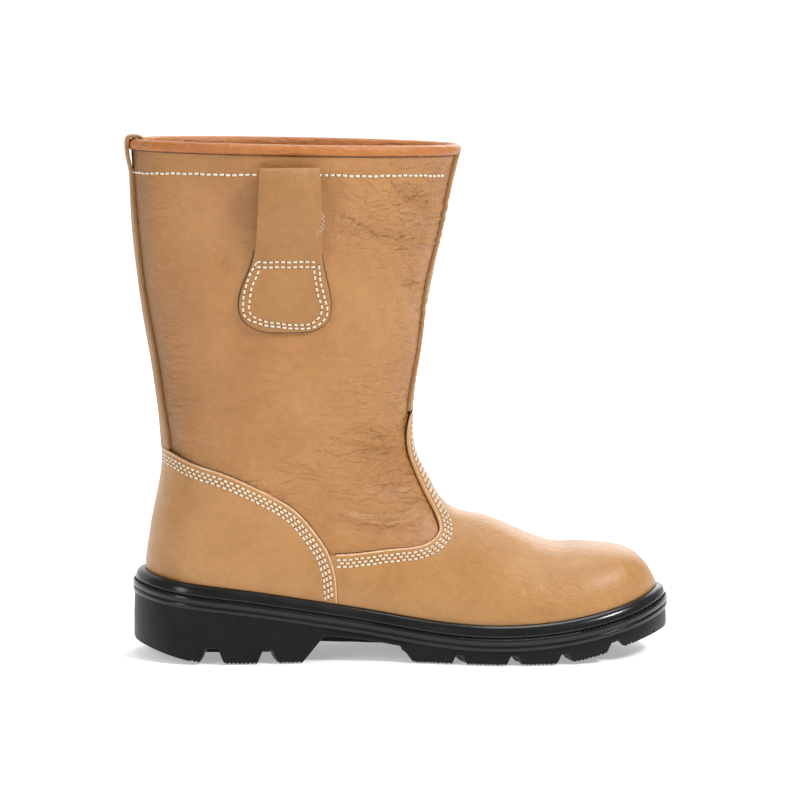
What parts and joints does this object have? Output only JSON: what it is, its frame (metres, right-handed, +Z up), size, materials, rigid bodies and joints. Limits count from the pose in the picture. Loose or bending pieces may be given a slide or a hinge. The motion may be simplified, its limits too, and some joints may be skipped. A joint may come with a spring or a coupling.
{
  "type": "rigger boot",
  "caption": "Pull-on calf-high leather work boot with a bound collar, folded pull loops, a vamp and heel counter sewn over a plain shaft, and a cleated black rubber sole with a raised heel",
  "frame": {"origin": "on the floor, under the middle of the boot's box, between the inner and the outer side", "axes": "+X points from the heel to the toe, +Z up, -Y to the inner (medial) side and +Y to the outer side of this left boot"},
  "size_m": [0.3061, 0.1257, 0.2936],
  "materials": {
    "sole_rubber": "satin",
    "welt_rubber": "gloss",
    "insole_board": "matte",
    "shaft_leather": "satin",
    "panel_leather": "satin",
    "binding_leather": "satin",
    "strap_leather": "matte"
  },
  "bodies": {
    "root": {"outsole": "sole_rubber", "welt": "welt_rubber", "insole": "insole_board", "upper": "shaft_leather", "vamp": "panel_leather", "heel_counter": "panel_leather", "collar_binding": "binding_leather", "front_strap": "strap_leather", "back_strap": "strap_leather", "pull_loop_inner": "strap_leather", "pull_loop_outer": "strap_leather"}
  },
  "joints": []
}
